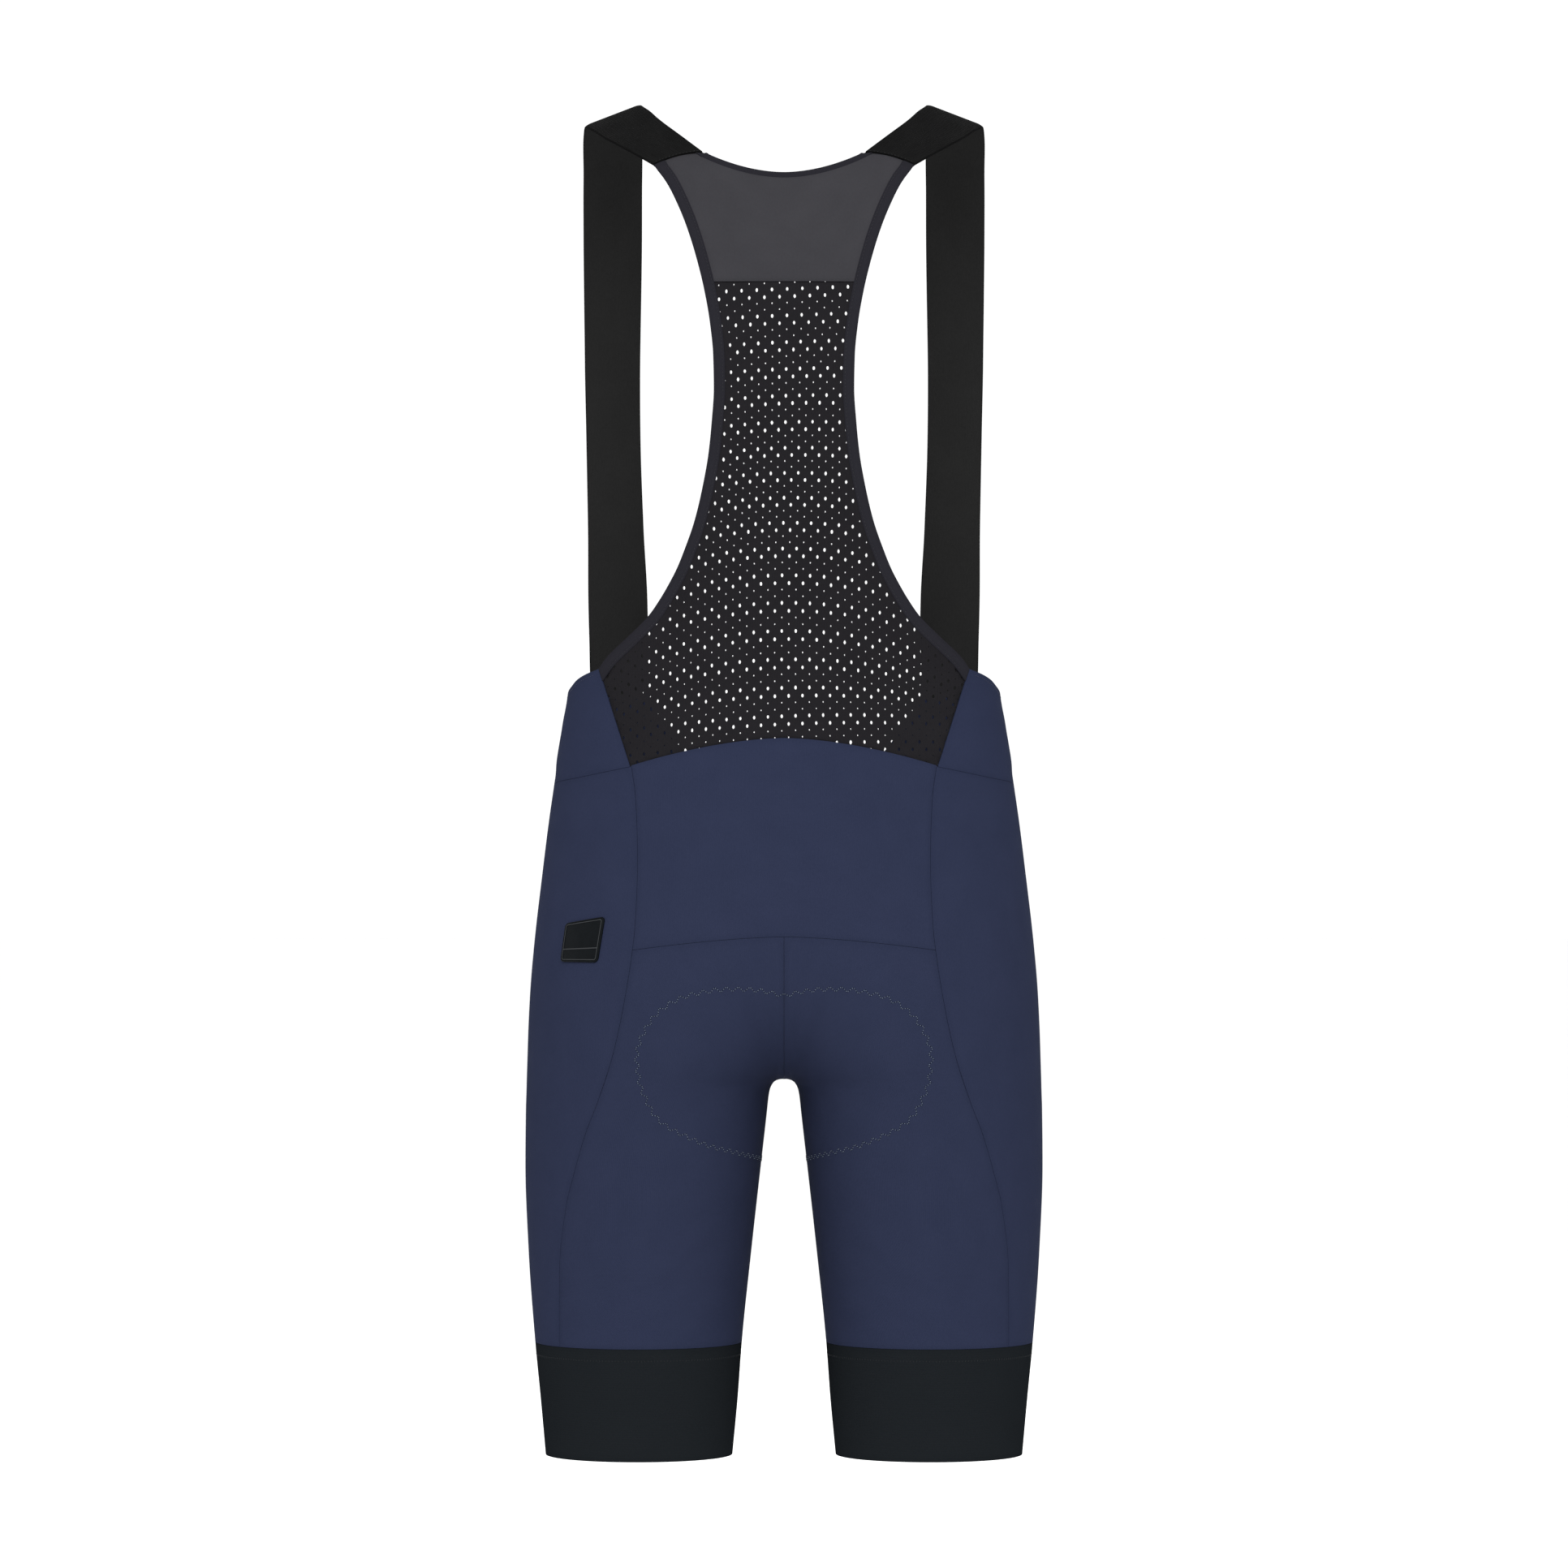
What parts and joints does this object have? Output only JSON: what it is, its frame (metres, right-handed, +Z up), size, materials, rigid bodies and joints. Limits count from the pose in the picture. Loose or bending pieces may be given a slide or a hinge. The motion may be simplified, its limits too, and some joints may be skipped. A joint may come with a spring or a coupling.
{
  "type": "cycling bib shorts",
  "caption": "Cycling bib shorts in worn, hollow form: stretch-knit legs with elastic bands, a mesh racer back and over-shoulder straps.",
  "frame": {"origin": "midway between the wearer's shoulders, level with the straps where they cross them", "axes": "+Z up, -Y towards the wearer's front, +X towards the wearer's left"},
  "size_m": [0.3498, 0.2328, 0.9144],
  "materials": {
    "navy_knit": "smooth stretch knit",
    "black_elastic": "woven elastic tape",
    "black_band": "dense elastic knit",
    "grey_yoke": "fine light knit",
    "black_mesh": "open-work knit",
    "badge_rubber": "moulded, satin",
    "pad_foam": "brushed knit over foam"
  },
  "bodies": {
    "root": {"seat_left": "navy_knit", "seat_right": "navy_knit", "front_left": "navy_knit", "front_right": "navy_knit", "side_left": "navy_knit", "side_right": "navy_knit", "back_waist": "navy_knit", "front_waist": "navy_knit", "leg_band_left": "black_band", "leg_band_right": "black_band", "back_mesh": "black_mesh", "yoke": "grey_yoke", "armhole_binding_left": "black_elastic", "armhole_binding_right": "black_elastic", "neck_binding": "black_elastic", "strap_left": "black_elastic", "strap_right": "black_elastic", "badge": "badge_rubber", "seat_pad": "pad_foam"}
  },
  "joints": []
}
